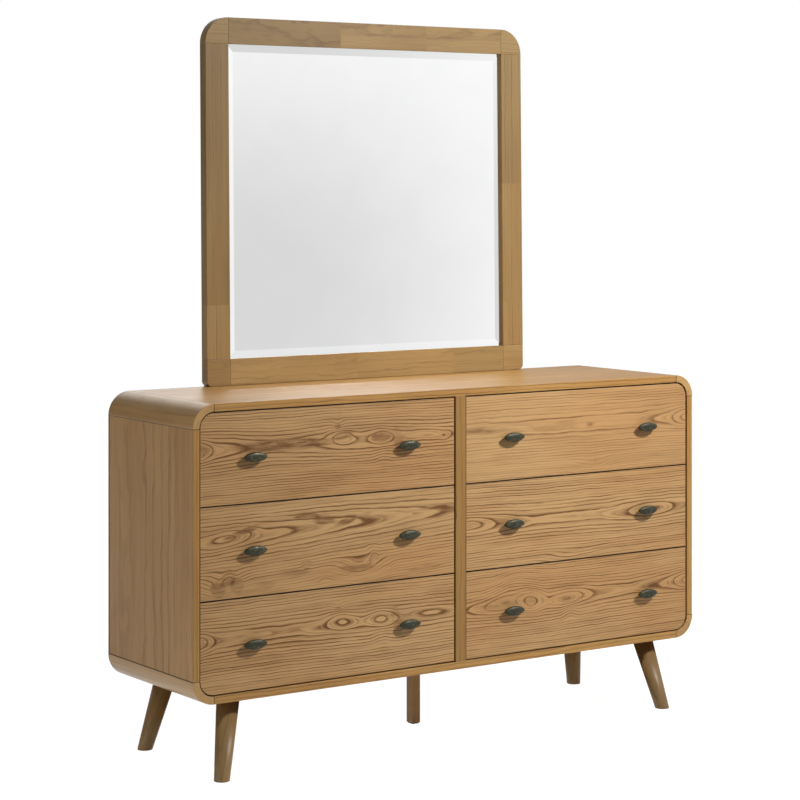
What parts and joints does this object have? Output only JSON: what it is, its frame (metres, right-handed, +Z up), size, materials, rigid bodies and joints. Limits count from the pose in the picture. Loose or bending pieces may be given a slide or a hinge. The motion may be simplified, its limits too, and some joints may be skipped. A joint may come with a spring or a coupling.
{
  "type": "dresser with mirror",
  "caption": "Long low dresser on splayed tapered legs, with rounded case corners, inset drawers in two bays and a framed mirror on posts.",
  "frame": {"origin": "on the floor under the middle of the whole piece, knobs and mirror posts included", "axes": "+X to the right as one faces the drawers, +Y towards the back, +Z up; the drawers open towards -Y"},
  "size_m": [1.5, 0.4498, 1.7786],
  "materials": {
    "case_wood": "satin lacquered ash in a honey brown, grain along each board",
    "moulding_wood": "satin lacquered ash, slightly browner, grain along the depth of the case",
    "front_wood": "satin lacquered ash with open cathedral grain and small knots, grain across",
    "leg_wood": "satin lacquered ash, darker, grain along the leg",
    "mirror_wood": "satin lacquered ash, grain along each member",
    "box_wood": "plain sealed pale hardwood",
    "plywood": "plain stained veneered board",
    "knob_bronze": "dark green-black antique bronze, rubbed paler along the upper edges",
    "mirror_glass": "silvered glass with a wide polished bevel"
  },
  "bodies": {
    "case": {"top_panel": "case_wood", "bottom_panel": "case_wood", "left_side": "case_wood", "right_side": "case_wood", "centre_stile": "case_wood", "top_right_moulding": "moulding_wood", "top_left_moulding": "moulding_wood", "bottom_left_moulding": "moulding_wood", "bottom_right_moulding": "moulding_wood", "back_panel": "plywood", "centre_divider": "plywood", "front_left_leg": "leg_wood", "front_right_leg": "leg_wood", "back_left_leg": "leg_wood", "back_right_leg": "leg_wood", "middle_leg": "leg_wood", "mirror_bottom_rail": "mirror_wood", "mirror_top_rail": "mirror_wood", "mirror_left_stile": "mirror_wood", "mirror_right_stile": "mirror_wood", "mirror_bottom_left_corner": "mirror_wood", "mirror_bottom_right_corner": "mirror_wood", "mirror_top_right_corner": "mirror_wood", "mirror_top_left_corner": "mirror_wood", "mirror_glass": "mirror_glass", "mirror_backboard": "plywood", "left_mirror_post": "plywood", "right_mirror_post": "plywood", "bottom_left_rail": "box_wood", "bottom_right_rail": "box_wood", "middle_left_rail": "box_wood", "middle_right_rail": "box_wood", "top_left_rail": "box_wood", "top_right_rail": "box_wood"},
    "bottom_left_drawer": {"bottom_left_drawer_front": "front_wood", "bottom_left_drawer_box": "box_wood", "bottom_left_drawer_left_knob": "knob_bronze", "bottom_left_drawer_right_knob": "knob_bronze"},
    "bottom_right_drawer": {"bottom_right_drawer_front": "front_wood", "bottom_right_drawer_box": "box_wood", "bottom_right_drawer_left_knob": "knob_bronze", "bottom_right_drawer_right_knob": "knob_bronze"},
    "middle_left_drawer": {"middle_left_drawer_front": "front_wood", "middle_left_drawer_box": "box_wood", "middle_left_drawer_left_knob": "knob_bronze", "middle_left_drawer_right_knob": "knob_bronze"},
    "middle_right_drawer": {"middle_right_drawer_front": "front_wood", "middle_right_drawer_box": "box_wood", "middle_right_drawer_left_knob": "knob_bronze", "middle_right_drawer_right_knob": "knob_bronze"},
    "top_left_drawer": {"top_left_drawer_front": "front_wood", "top_left_drawer_box": "box_wood", "top_left_drawer_left_knob": "knob_bronze", "top_left_drawer_right_knob": "knob_bronze"},
    "top_right_drawer": {"top_right_drawer_front": "front_wood", "top_right_drawer_box": "box_wood", "top_right_drawer_left_knob": "knob_bronze", "top_right_drawer_right_knob": "knob_bronze"}
  },
  "joints": [
    {"name": "bottom_left_drawer_slide", "type": "slide", "parent": "case", "child": "bottom_left_drawer", "axis": [0, -1, 0], "range_m": [0, 0.27]},
    {"name": "bottom_right_drawer_slide", "type": "slide", "parent": "case", "child": "bottom_right_drawer", "axis": [0, -1, 0], "range_m": [0, 0.27]},
    {"name": "middle_left_drawer_slide", "type": "slide", "parent": "case", "child": "middle_left_drawer", "axis": [0, -1, 0], "range_m": [0, 0.27]},
    {"name": "middle_right_drawer_slide", "type": "slide", "parent": "case", "child": "middle_right_drawer", "axis": [0, -1, 0], "range_m": [0, 0.27]},
    {"name": "top_left_drawer_slide", "type": "slide", "parent": "case", "child": "top_left_drawer", "axis": [0, -1, 0], "range_m": [0, 0.27]},
    {"name": "top_right_drawer_slide", "type": "slide", "parent": "case", "child": "top_right_drawer", "axis": [0, -1, 0], "range_m": [0, 0.27]}
  ]
}
